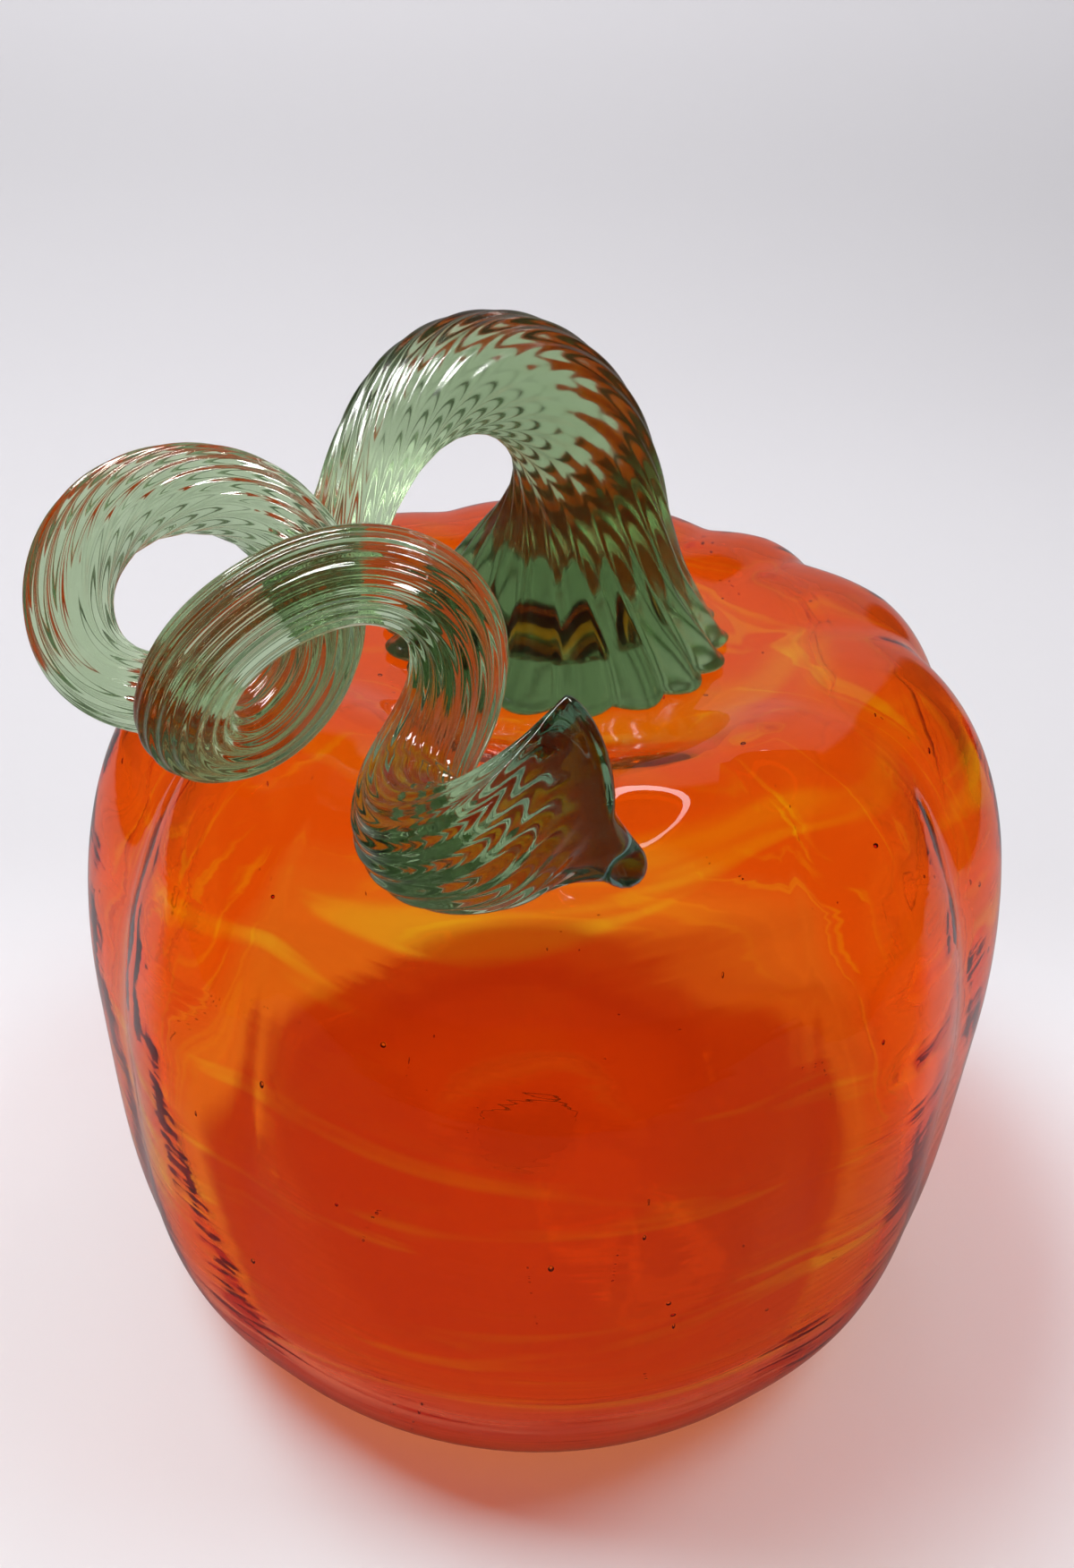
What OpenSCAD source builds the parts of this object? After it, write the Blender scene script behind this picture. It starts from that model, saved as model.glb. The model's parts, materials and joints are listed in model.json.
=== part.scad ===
// Blown glass pumpkin: a hollow lobed body, a solid ribbed stem that curls over it, and the
// ground disc under the foot. Z is up, the origin is the middle of the foot, sizes are in mm.

/* [Body] */
// Width across the lobes at the belly
body_d = 150; // [120:1:190]
// Height of the belly above the table
belly_z = 63; // [48:1:78]
// Height of the flat seat that the stem stands on
seat_z = 116; // [100:1:140]
// How far the ring of lobes rises above the seat
ridge_rise = 3.2; // [1:0.1:5]
// Width of the slope between that ring and the seat
dimple_w = 14; // [8:1:18]
// Thickness of the blown wall
wall = 3.5; // [2.5:0.1:5]
// Hole in the seat where the blowpipe came away
neck_d = 18; // [12:1:24]

/* [Creases] */
// Depth of the creases at the belly
crease_belly = 2; // [0.5:0.1:4]
// Depth of the creases at the top
crease_top = 2.6; // [0.5:0.1:5]
// How far the creases dip below the ring of lobes
crease_dip = 3.8; // [0:0.1:8]
// Share of the creases that is left at the ring of lobes, where they run out
crease_left = 0.2; // [0:0.05:1]
// How tightly the creases are drawn in
crease_power = 2.2; // [1.6:0.1:4]

/* [Foot] */
// Outside width of the flat ring that it rests on
foot_d = 72; // [60:1:84]
// Width of that ring from edge to edge
foot_w = 12; // [6:1:16]
// Height of the hollow inside the ring
kick_h = 4; // [3:0.1:8]
// Width of the ground disc in the hollow
pontil_d = 16; // [10:1:20]
// Thickness of the disc
pontil_t = 1.6; // [1:0.1:2.5]

/* [Stem] */
// Width of the skirt where it spreads on the seat
skirt_d = 53; // [44:1:62]
// Flat rim left around the skirt
skirt_margin = 2.5; // [1:0.1:5]
// Thickness of the rod in the curls, which grow with it
rod_d = 9.7; // [8:0.1:11.4]
// Ribs around the rod
ribs = 18; // [12:1:20]
// Depth of the ribs on the rod
rib_h = 0.35; // [0.1:0.05:0.6]
// Depth of the scallops at the edge of the skirt
scallop_h = 2.4; // [0.5:0.1:3]
// Turn of the ribs for each step of the route along the arch, in degrees
arch_twist = 28; // [0:1:40]
// Turn of the ribs for each step of the route around the first loop, in degrees
loop_twist = 35; // [0:1:45]
// Turn of the ribs for each step of the route after that, in degrees
end_twist = 8; // [0:1:20]
// Length of the sheared end that is pressed flat
press_l = 14; // [8:0.5:16]
// Share of its thickness that is left there
press_share = 0.25; // [0.2:0.05:1]
// How far the sheared edge bows out
end_bow = 1.6; // [0:0.1:3]
// Lean of the sheared edge away from square
end_lean = 0.27; // [0:0.01:0.4]
// How far the cut face is domed
end_dome = 1.2; // [0.8:0.1:2.5]
// Width of the drop that hangs from the sheared end
drop_d = 4.2; // [3:0.1:6]
// How far that drop hangs below the end
drop_h = 4.4; // [1:0.1:5]
// How far the plug reaches below the seat
plug_l = 5; // [4:0.1:9]
// Gap around the plug in the neck
plug_gap = 0.15; // [0.1:0.01:0.3]

/* [Hidden] */

amber = [0.93, 0.33, 0.04, 0.55];
moss = [0.45, 0.55, 0.38, 0.75];
clear = [0.85, 0.88, 0.86, 0.6];

// Bearings of the creases, counted from the right, with the widest lobe at the front
crease_at = [4, 36, 58, 86, 114, 148, 181, 213, 239, 300, 328];
// Points around each lobe and along each side of the wall
lobe_n = 6;
low_n = 10;
up_n = 9;
in_low_n = 8;
in_up_n = 7;

foot_r = foot_d / 2;
kick_r = foot_r - foot_w;
roof_r = pontil_d / 2 + 2;
seat_r = skirt_d / 2 + skirt_margin;
ridge_r = seat_r + dimple_w;
ridge_z = seat_z + ridge_rise;
neck_r = neck_d / 2;

function mix(a, b, t) = a + (b - a) * t;
function clamp(v, a, b) = max(a, min(b, v));
function ease(t) = t * t * (3 - 2 * t);
function unit(v) = v / norm(v);

// Columns of the body as bearing and crease, which is 1 in a crease and 0 on the crown of a lobe
lobes = len(crease_at);
function lobe_span(i) = i < lobes - 1 ? crease_at[i + 1] - crease_at[i] : crease_at[0] + 360 - crease_at[i];
columns = [
    for (i = [0 : lobes - 1], j = [0 : lobe_n - 1])
        [crease_at[i] + lobe_span(i) * j / lobe_n, pow(abs(2 * j / lobe_n - 1), crease_power)]
];

// Radius and height on the wall, at depth w below the outside, share v of the way up and crease c
function kick(w, v) = [mix(roof_r, kick_r, v), w + kick_h * (1 - ease(v))];
function lower(w, v, c) =
    let (t = 90 * pow(1 - v, 2.3))
    [
        foot_r + (body_d / 2 - w - foot_r) * pow(cos(t), 0.7) - crease_belly * pow(v, 1.5) * c,
        belly_z - (belly_z - w) * pow(sin(t), 0.43)
    ];
function upper(w, v, c) =
    let (t = 90 * v, fold = c * mix(1, crease_left, ease(clamp(2 * v - 1, 0, 1))))
    [
        ridge_r + (body_d / 2 - w - ridge_r) * pow(cos(t), 0.7) - mix(crease_belly, crease_top, sin(t)) * fold,
        belly_z + (ridge_z - w - belly_z - crease_dip * fold) * pow(sin(t), 1.05)
    ];
function dimple(w, v, c) =
    let (fold = c * crease_left)
    [
        mix(ridge_r - crease_top * fold, seat_r, v),
        mix(ridge_z - w - crease_dip * fold, seat_z - w, ease(v))
    ];

// One column of the wall, from the roof of the hollow up the outside and back down the inside
function wall_line(c) = concat(
    [for (k = [0 : 2]) kick(0, k / 2)],
    [for (k = [0 : low_n]) lower(0, k / low_n, c)],
    [for (k = [1 : up_n]) upper(0, k / up_n, c)],
    [for (k = [1 : 3]) dimple(0, k / 3, c)],
    [[neck_r - 1, seat_z], [neck_r - 1, seat_z - wall]],
    [for (k = [2 : -1 : 0]) dimple(wall, k / 2, c)],
    [for (k = [in_up_n - 1 : -1 : 0]) upper(wall, k / in_up_n, c)],
    [for (k = [in_low_n - 1 : -1 : 0]) lower(wall, k / in_low_n, c)],
    [for (k = [2 : -1 : 0]) kick(wall, k / 2)]
);

// A skin over rings of n points each, closed by one point below the first and one above the last
module skin(rings, first, last) {
    rows = len(rings);
    n = len(rings[0]);
    points = concat([for (ring = rings, p = ring) p], [first, last]);
    sides = [
        for (i = [0 : rows - 2], j = [0 : n - 1], half = [0, 1])
            let (a = i * n + j, b = i * n + (j + 1) % n)
            half == 0 ? [a, a + n, b + n] : [a, b + n, b]
    ];
    starts = [for (j = [0 : n - 1]) [rows * n, j, (j + 1) % n]];
    ends = [for (j = [0 : n - 1]) [rows * n + 1, (rows - 1) * n + (j + 1) % n, (rows - 1) * n + j]];
    polyhedron(points, concat(sides, starts, ends));
}

// Route of the rod as hand-set points: right, back, height above the seat and thickness in rods
route = [
    [-2, 3, -11, 7.1],
    [0, 0, 0, 5.4],
    [2, -3, 11, 3.7],
    [4, -4, 22, 2.3],
    [2, -5, 34, 1.85],
    [-7, -8, 42, 1.65],
    [-17, -15, 42, 1.45],
    [-23, -23, 36, 1.15],
    [-26, -30, 28, 0.96],
    [-29, -36, 20, 0.96],
    [-36, -42, 13, 0.97],
    [-46, -46, 11, 1],
    [-55, -47, 16, 1],
    [-56, -44, 26, 1],
    [-50, -42, 34, 1],
    [-40, -42, 37, 1],
    [-31, -44, 35, 1],
    [-25, -48, 27, 1],
    [-27, -52, 18, 1],
    [-34, -57, 13, 1],
    [-39, -64, 18, 1],
    [-35, -67, 28, 0.97],
    [-28, -65, 34, 0.97],
    [-18, -64, 38, 0.97],
    [-9, -65, 34, 0.97],
    [-10, -65, 23, 1],
    [-15, -70, 17, 1.06],
    [-13, -81, 17, 1.18],
    [-5, -84, 21, 1.35],
    [2, -81, 25, 1.9],
    [9, -77, 29, 2.35]
];
// Thickness that the route gives at the seat, and the rod that its points were set for
route_foot = 5.4;
route_rod = 9.7;
steps = len(route) - 3;
// Rings of the rod for each step of the route
ring_n = 4;

// Smooth curve through the route: the place, and the way it heads, u steps along it
function spline(u) =
    let (i = min(floor(u), steps - 1), t = u - i, s = 1 - t)
    (s * s * s * route[i] + (3 * t * t * t - 6 * t * t + 4) * route[i + 1]
        + (3 * s * s * s - 6 * s * s + 4) * route[i + 2] + t * t * t * route[i + 3]) / 6;
function slope(u) =
    let (i = min(floor(u), steps - 1), t = u - i, s = 1 - t)
    (-s * s * route[i] + (3 * t * t - 4 * t) * route[i + 1]
        + (4 * s - 3 * s * s) * route[i + 2] + t * t * route[i + 3]) / 2;
function xyz(v) = [v[0], v[1], v[2]];
function rod_at(u) = [0, 0, seat_z] + xyz(spline(u)) * rod_d / route_rod;
function heading(u) = unit(xyz(slope(u)));
function thick(u) = spline(u)[3] * mix(skirt_d / route_foot, rod_d, ease(clamp(u / 4, 0, 1)));
function turn(u) =
    -arch_twist * clamp(u - 2, 0, 5) - loop_twist * clamp(u - 7, 0, 8.5) - end_twist * max(u - 15.5, 0);
// Depth of the grooves, which fade out before the sheared end
function groove(u) =
    mix(scallop_h, rib_h, ease(clamp(u / 3, 0, 1))) * (1 - ease(clamp((u - steps + 2) / 1.3, 0, 1)));

// The first rings lie flat on the seat and the others stand square to the route
function facing(u) = u < 2.5 ? unit(mix([0, 0, 1], heading(u), ease(u / 2.5))) : heading(u);

// Side direction of each ring, carried along the route without turning about it
function carried(v, n) = unit(v - (v * n) * n);
stations = [for (k = [0 : steps * ring_n]) k / ring_n];
side_ways = [
    for (k = 0, v = [1, 0, 0]; k < len(stations);
        k = k + 1, v = k < len(stations) ? carried(v, facing(stations[k])) : v) v
];

end_at = rod_at(steps);
end_face = facing(steps);
end_r = thick(steps) / 2;
end_down = unit([0, 0, -1] + end_face[2] * end_face);
end_wide = cross(end_face, end_down);

// A point of the rod after the shears have pressed its end flat
function pressed(p) =
    let (
        d = p - end_at,
        share = ease(clamp(1 + d * end_face / press_l, 0, 1)),
        level = clamp(d * end_down / end_r, -1, 1)
    )
    p - (1 - press_share) * share * (d * end_wide) * end_wide
        + (end_bow * share * share * (1 - level * level) - end_lean * share * (d * end_down)) * end_face;

function ring_at(middle, n, a, r, dip, start) =
    [
        for (j = [0 : 2 * ribs - 1])
            let (q = 180 * j / ribs + start, e = r - (j % 2) * dip)
            middle + e * (cos(q) * a + sin(q) * cross(n, a))
    ];
function rod_ring(k) =
    let (
        u = stations[k],
        ring = ring_at(rod_at(u), facing(u), side_ways[k], thick(u) / 2, groove(u), turn(u))
    )
    u < steps - 3 ? ring : [for (p = ring) pressed(p)];
function dome_ring(bend) =
    let (
        middle = end_at + end_dome * sin(bend) * end_face,
        last = side_ways[len(side_ways) - 1],
        ring = ring_at(middle, end_face, last, end_r * pow(cos(bend), 0.6), 0, turn(steps))
    )
    [for (p = ring) pressed(p)];

// Least gap between stretches of the rod that are more than three steps apart
rod_gap = min([
    for (a = [2 : 0.25 : steps - 3], b = [a + 3 : 0.25 : steps])
        norm(rod_at(a) - rod_at(b)) - (thick(a) + thick(b)) / 2
]);
echo(rod_gap = rod_gap);

module body() {
    lines = [for (col = columns) wall_line(col[1])];
    rings = [
        for (k = [0 : len(lines[0]) - 1])
            [
                for (j = [0 : len(columns) - 1])
                    let (q = columns[j][0], p = lines[j][k])
                    [p[0] * cos(q), p[0] * sin(q), p[1]]
            ]
    ];
    color(amber)
        difference() {
            skin(rings, [0, 0, kick_h], [0, 0, kick_h + wall]);
            translate([0, 0, seat_z - wall - 2])
                cylinder(h = wall + 4, d = neck_d, $fn = 96);
        }
}

module stem() {
    rings = concat(
        [for (k = [0 : len(stations) - 1]) rod_ring(k)],
        [for (bend = [30, 60, 80]) dome_ring(bend)]
    );
    color(moss)
        union() {
            skin(rings, [0, 0, seat_z], pressed(end_at + end_dome * end_face));
            translate([0, 0, seat_z - plug_l])
                cylinder(h = plug_l + 3, d = neck_d - 2 * plug_gap, $fn = 96);
            hull()
                for (at = [[-3, -2], [drop_h - drop_d / 2, 0]])
                    translate(end_at + (end_r + at[0]) * end_down + at[1] * end_face)
                        sphere(d = drop_d, $fn = 32);
        }
}

module pontil() {
    color(clear)
        translate([0, 0, kick_h - pontil_t])
            cylinder(h = pontil_t, d = pontil_d, $fn = 96);
}

body();
stem();
pontil();
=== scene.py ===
# %% [markdown]
# # A blown glass pumpkin
# The real thing is a hollow orange glass body with uneven lobes, and a solid green glass stem
# that was drawn out hot, twisted and curled. This lesson builds both from rules, gives them
# glass that colours the light, and sets them in a plain pale studio.

# %% Open the frame
import json
import math
import bmesh
import bpy
import numpy as np
from mathutils import Matrix, Vector

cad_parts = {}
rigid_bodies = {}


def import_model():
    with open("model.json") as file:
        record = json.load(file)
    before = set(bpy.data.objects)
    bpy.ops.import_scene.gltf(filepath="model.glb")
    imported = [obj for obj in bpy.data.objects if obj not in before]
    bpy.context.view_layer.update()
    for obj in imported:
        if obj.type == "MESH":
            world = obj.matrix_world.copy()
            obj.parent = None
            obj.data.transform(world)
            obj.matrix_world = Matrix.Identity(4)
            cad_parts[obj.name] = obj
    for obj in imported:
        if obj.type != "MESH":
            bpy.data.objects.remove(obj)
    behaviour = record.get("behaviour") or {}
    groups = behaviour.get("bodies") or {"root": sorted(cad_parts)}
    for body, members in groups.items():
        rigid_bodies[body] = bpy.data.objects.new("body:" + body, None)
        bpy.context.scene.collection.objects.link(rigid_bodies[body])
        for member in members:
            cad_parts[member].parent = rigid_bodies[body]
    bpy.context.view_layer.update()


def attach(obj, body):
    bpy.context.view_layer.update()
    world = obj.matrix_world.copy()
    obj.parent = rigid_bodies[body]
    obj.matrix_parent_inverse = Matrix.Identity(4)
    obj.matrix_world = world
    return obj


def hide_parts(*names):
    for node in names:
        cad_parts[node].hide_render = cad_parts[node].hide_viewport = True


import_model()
MM = 0.001

# %% [markdown]
# ## The lobed body: its rule
# A blown body is a lathe form that was pressed in along a few lines while it was soft. So its
# rule has two parts: a profile (foot, belly, ring of lobes, sunken seat) and a crease number
# that is 1 in a crease and 0 on the crown of a lobe. The crease lines are uneven on purpose.
# Writing the rule with arrays gives every point at once and keeps the wall even.

# %% Measures of the body, in mm
BODY_R = 75.0
BELLY_Z = 63.0
SEAT_Z = 116.0
RIDGE_Z = SEAT_Z + 3.2
SEAT_R = 29.0
RIDGE_R = SEAT_R + 14.0
FOOT_R = 36.0
KICK_R = 24.0
KICK_H = 4.0
ROOF_R = 10.0
WALL = 3.5
NECK_R = 9.0
CREASE_BELLY = 2.0
CREASE_TOP = 2.6
CREASE_DIP = 3.8
CREASE_LEFT = 0.2
CREASE_AT = [4, 36, 58, 86, 114, 148, 181, 213, 239, 300, 328]
LOBE_STEPS = 24
CREASE_SOFT = 0.18
print("Lobes:", len(CREASE_AT), "belly width in mm:", 2 * BODY_R)

# %% Columns and profile of the body


def ease(t):
    return t * t * (3 - 2 * t)


def body_columns():
    """Bearing in degrees and crease number for each column of points."""
    bearing, crease = [], []
    for here, there in zip(CREASE_AT, CREASE_AT[1:] + [CREASE_AT[0] + 360]):
        for step in range(LOBE_STEPS):
            share = step / LOBE_STEPS
            away = 1 - abs(2 * share - 1)
            soft = math.hypot(away, CREASE_SOFT) - CREASE_SOFT
            bearing.append(here + (there - here) * share)
            crease.append((1 - soft) ** 2.2)
    return np.array(bearing), np.array(crease)


def kick(w, v, c):
    return ROOF_R + (KICK_R - ROOF_R) * v + 0 * c, w + KICK_H * (1 - ease(v)) + 0 * c


def lower(w, v, c):
    t = math.radians(90) * (1 - v) ** 2.3
    cos_t, sin_t = max(math.cos(t), 0.0), math.sin(t)
    r = FOOT_R + (BODY_R - w - FOOT_R) * cos_t**0.7 - CREASE_BELLY * v**1.5 * c
    return r, BELLY_Z - (BELLY_Z - w) * sin_t**0.43 + 0 * c


def upper(w, v, c):
    t = math.radians(90) * v
    cos_t, sin_t = max(math.cos(t), 0.0), math.sin(t)
    c = c * (1 + (CREASE_LEFT - 1) * ease(max(2 * v - 1, 0)))
    fold = CREASE_BELLY + (CREASE_TOP - CREASE_BELLY) * sin_t
    r = RIDGE_R + (BODY_R - w - RIDGE_R) * cos_t**0.7 - fold * c
    return r, BELLY_Z + (RIDGE_Z - w - BELLY_Z - CREASE_DIP * c) * sin_t**1.05


def dimple(w, v, c):
    low = RIDGE_Z - w - CREASE_DIP * CREASE_LEFT * c
    r = RIDGE_R - CREASE_TOP * CREASE_LEFT * c
    return r + (SEAT_R - r) * v, low + (SEAT_Z - w - low) * ease(v)


def seat(w, v, c):
    return SEAT_R + (NECK_R - SEAT_R) * v + 0 * c, SEAT_Z - w + 0 * c


bearing, crease = body_columns()
print("Columns of points around the body:", len(bearing))

# %% [markdown]
# ## The lobed body: its mesh
# The rows of points run from under the foot, up the outside, through the neck hole and back down
# the inside, so one closed skin holds the whole wall. The inside also carries faint twisted waves
# and a few lying hoops, as glass keeps from the mould and from the turning of the pipe. They are
# what breaks the light into streaks. The layer of colour lies on the outside only, so each point
# stores how much of it there is. Towards the foot the tint is painted paler, a painted light that
# stands in for the light the glass throws onto the paper under the body.

# %% Rows of the wall, with the waves inside
OUT_ROWS = {"kick": 14, "lower": 64, "upper": 56, "dimple": 18, "seat": 8}
IN_ROWS = {"kick": 10, "lower": 48, "upper": 44, "dimple": 12, "seat": 6}
RULES = {"kick": kick, "lower": lower, "upper": upper, "dimple": dimple, "seat": seat}
WAVE_H, WAVE_FULL_Z = 0.35, 70.0
BROAD_WAVES, FINE_WAVES = 17, 29
HOOP_H, HOOP_FROM_Z, HOOP_FULL_Z = 0.18, 60.0, 90.0
HOOP_PER_MM = 0.52


def wave(bearing, z):
    """Depth of the mould waves and hoops on the inside, in mm."""
    q = np.radians(bearing)
    broad = np.sin(BROAD_WAVES * q + 0.10 * z + 0.6 * np.sin(3 * q))
    fine = np.sin(FINE_WAVES * q - 0.07 * z + 1.1 * np.sin(2 * q + 1))
    waves = 0.8 * broad + 0.2 * fine
    fade = np.sin(np.pi * np.clip(z / SEAT_Z, 0, 1)) ** 0.7 * np.clip(z / WAVE_FULL_Z, 0.3, 1)
    lying = np.sin(HOOP_PER_MM * z + 1.6 * np.sin(2 * q + 0.5) + 0.9 * np.sin(5 * q))
    patchy = 0.5 + 0.5 * np.sin(3 * q + 0.04 * z)
    upper_part = np.clip((z - HOOP_FROM_Z) / (HOOP_FULL_Z - HOOP_FROM_Z), 0, 1)
    return WAVE_H * fade * waves + HOOP_H * upper_part * lying * patchy


def body_rows(bearing, crease):
    rows = []
    for name, count in OUT_ROWS.items():
        for k in range(count + (name == "seat")):
            rows.append(RULES[name](0.0, k / count, crease))
    inside = []
    for name, count in IN_ROWS.items():
        for k in range(count + (name == "seat")):
            r, z = RULES[name](WALL, k / count, crease)
            if name in ("lower", "upper"):
                r = r - wave(bearing, z)
            inside.append((r, z))
    return rows + inside[::-1]


wall_rows = body_rows(bearing, crease)
print("Rows from under the foot to the inside:", len(wall_rows))

# %% Build the body's wall


def skin(rings, first, last):
    """Mesh data for rings of points, closed at both ends by one point."""
    count, n = len(rings), len(rings[0])
    points = np.vstack([np.vstack(rings), [first, last]])
    i, j = np.meshgrid(np.arange(count - 1), np.arange(n), indexing="ij")
    a, b = i * n + j, i * n + (j + 1) % n
    quads = np.stack([a, b, b + n, a + n], -1).reshape(-1, 4).tolist()
    top = (count - 1) * n
    fans = [[count * n, (k + 1) % n, k] for k in range(n)]
    fans += [[count * n + 1, top + k, top + (k + 1) % n] for k in range(n)]
    return points, quads + fans


def turned(bearing, rows):
    """Rings of points for rows of reach and height."""
    q = np.radians(bearing)
    return [np.stack([r * np.cos(q), r * np.sin(q), z + 0 * q], 1) for r, z in rows]


def new_piece(name, points, faces):
    mesh = bpy.data.meshes.new(name)
    mesh.from_pydata((np.asarray(points) * MM).tolist(), [], faces)
    mesh.polygons.foreach_set("use_smooth", [True] * len(mesh.polygons))
    piece = bpy.data.objects.new(name, mesh)
    bpy.context.scene.collection.objects.link(piece)
    return piece


points, faces = skin(turned(bearing, wall_rows), (0, 0, KICK_H), (0, 0, KICK_H + WALL))
body = new_piece("body_glass", points, faces)
print("Body:", len(points), "points,", len(faces), "faces")

# %% Where the colour lies
FOOT_LAYER, FOOT_PALEST_Z, FULL_LAYER_Z = 0.58, 3.0, 35.0


def store_layer(piece, values):
    """How much of the tint each point of a piece gets, from 0 to 1."""
    layer = piece.data.attributes.new("layer", "FLOAT", "POINT")
    layer.data.foreach_set("value", np.asarray(values, np.float32))


outside = (sum(OUT_ROWS.values()) + 1) * len(bearing)
on_outside = np.arange(len(points)) < outside
on_outside[-2] = True  # the point that closes the foot from below
# Painted light: the tint is paler towards the foot, standing in for the light the glass throws onto
# the paper under the body.
paled_for_light = np.interp(np.asarray(points)[:, 2], (FOOT_PALEST_Z, FULL_LAYER_Z), (FOOT_LAYER, 1.0))
store_layer(body, on_outside * paled_for_light)
print("Points with colour:", int(on_outside.sum()))

# %% [markdown]
# ## The ground mark under the foot
# While the stem was put on, a rod held the piece from below. Breaking it off leaves a rough
# scar that is ground to a small frosted disc in the hollow of the foot. It is a turned form,
# so a row of rings from the middle of its underside to the middle of its top is enough.

# %% Build the ground mark
MARK_R = 8.0
MARK_LOW = 2.4
MARK_TOP = 3.98
MARK_SOFT = 0.35
MARK_AROUND = 96

mark_rows = [(r, MARK_LOW) for r in (1.5, 3.0, 4.5, 6.0)]
for k in range(7):
    bend = math.radians(90) * k / 6
    out = MARK_R - MARK_SOFT * (1 - math.sin(bend))
    mark_rows.append((out, MARK_LOW + MARK_SOFT * (1 - math.cos(bend))))
mark_rows += [(MARK_R, MARK_TOP)] + [(r, MARK_TOP) for r in (6.0, 4.0, 2.0)]
mark_bearing = np.arange(MARK_AROUND) * 360 / MARK_AROUND
points, faces = skin(turned(mark_bearing, mark_rows), (0, 0, MARK_LOW), (0, 0, MARK_TOP))
mark = new_piece("ground_mark", points, faces)
print("Ground mark in mm:", 2 * MARK_R, "across,", round(MARK_TOP - MARK_LOW, 2), "thick")

# %% [markdown]
# ## Which way the faces point
# Glass needs to know which side is air, so every skin must face outwards. The volume that a
# closed mesh gets from its triangles is negative when it is inside out, which makes an easy
# test for each piece.

# %% A test for inside-out skins
CM3_PER_M3 = 1e6


def signed_volume(mesh):
    mesh.calc_loop_triangles()
    tris = np.zeros(len(mesh.loop_triangles) * 3, np.int32)
    mesh.loop_triangles.foreach_get("vertices", tris)
    co = np.zeros(len(mesh.vertices) * 3, np.float32)
    mesh.vertices.foreach_get("co", co)
    a, b, c = np.moveaxis(co.reshape(-1, 3)[tris.reshape(-1, 3)], 1, 0)
    return float((a * np.cross(b, c)).sum() / 6)


def face_outwards(piece):
    if signed_volume(piece.data) < 0:
        piece.data.flip_normals()
    volume = signed_volume(piece.data) * CM3_PER_M3
    triangles = len(piece.data.loop_triangles)
    print(piece.name, "holds", round(volume, 1), "cm3 in", triangles, "triangles")


face_outwards(body)
face_outwards(mark)

# %% [markdown]
# ## The stem: its route
# The stem is one rod of hot glass. Its route is a few listed points smoothed by a cubic spline,
# each with a thickness counted in rods. The twist is uneven along it, because the rod was turned
# while parts of it had already stiffened.

# %% Points of the route, in mm and rods
ROD_D = 9.7
SKIRT_D = 53.0
ROUTE = np.array([
    (-2, 3, -11, 7.1), (0, 0, 0, 5.4), (2, -3, 11, 3.7), (4, -4, 22, 2.3), (2, -5, 34, 1.85),
    (-7, -8, 42, 1.65), (-17, -15, 42, 1.45), (-23, -23, 36, 1.15), (-26, -30, 28, 0.96),
    (-29, -36, 20, 0.96), (-36, -42, 13, 0.97), (-46, -46, 11, 1), (-55, -47, 16, 1),
    (-56, -44, 26, 1), (-50, -42, 34, 1), (-40, -42, 37, 1), (-31, -44, 35, 1),
    (-25, -48, 27, 1), (-27, -52, 18, 1), (-34, -57, 13, 1), (-39, -64, 18, 1),
    (-35, -67, 28, 0.97), (-28, -65, 34, 0.97), (-18, -64, 38, 0.97), (-9, -65, 34, 0.97),
    (-10, -65, 23, 1), (-15, -70, 17, 1.06), (-13, -81, 17, 1.18), (-5, -84, 21, 1.35),
    (2, -81, 25, 1.9), (9, -77, 29, 2.35),
], float)
ROUTE_FOOT = 5.4
STEPS = len(ROUTE) - 3
RINGS_PER_STEP = 21
TWIST_AT = [0, 2, 7, 8, 12, 13, 15.5, 17, STEPS]
TWIST_PER_STEP = [0, 28, 28, 20, 20, 55, 55, 8, 8]
TWIST_PARTS = 40
UP = np.array((0.0, 0.0, 1.0))
print("Steps of the route:", STEPS)

# %% Smooth route, thickness and twist


def spline(u):
    i = min(int(u), STEPS - 1)
    t = u - i
    s = 1 - t
    weights = (s**3, 3 * t**3 - 6 * t**2 + 4, 3 * s**3 - 6 * s**2 + 4, t**3)
    return sum(w * p for w, p in zip(weights, ROUTE[i:i + 4])) / 6


def heading(u):
    i = min(int(u), STEPS - 1)
    t = u - i
    s = 1 - t
    weights = (-s**2, 3 * t**2 - 4 * t, 4 * s - 3 * s**2, t**2)
    way = sum(w * p for w, p in zip(weights, ROUTE[i:i + 4]))[:3]
    return way / np.linalg.norm(way)


def share(u, start, end):
    return ease(min(max((u - start) / (end - start), 0), 1))


def facing(u):
    way = UP + (heading(u) - UP) * share(u, 0, 2.5)
    return way / np.linalg.norm(way)


def thick(u):
    rod = SKIRT_D / ROUTE_FOOT
    return spline(u)[3] * (rod + (ROD_D - rod) * share(u, 0, 4))


twist_u = np.linspace(0, STEPS, TWIST_PARTS * STEPS + 1)
twist_sum = np.cumsum(np.interp(twist_u, TWIST_AT, TWIST_PER_STEP)) / TWIST_PARTS


def turn(u):
    return -math.radians(np.interp(u, twist_u, twist_sum))


end_turn = round(-math.degrees(turn(STEPS)))
print("End in mm:", round(thick(STEPS), 1), "turned by", end_turn, "degrees")

# %% [markdown]
# ## The stem: its rings
# Each ring of the rod is a row of numbers: its middle, the way it faces, how far it reaches,
# how deep its grooves are, how sharp they are and how far it has turned. The first rings make
# the plug in the neck hole and the flat underside, the last ones round off the sheared end.
# A side direction is carried from ring to ring that never spins by itself, so that only the
# twist we ask for turns the ribs.

# %% Rings of the plug and the skirt
PLUG_R = NECK_R + 0.05
PLUG_L = 5.0
SKIRT_GAP = 0.05
RIM_SOFT = 1.0
SCALLOP_H = 2.4
RIB_H = 0.35

rows = []


def ring(middle, way, reach, groove, edge, twist):
    rows.append((middle, way, reach, groove, edge, twist))


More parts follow.
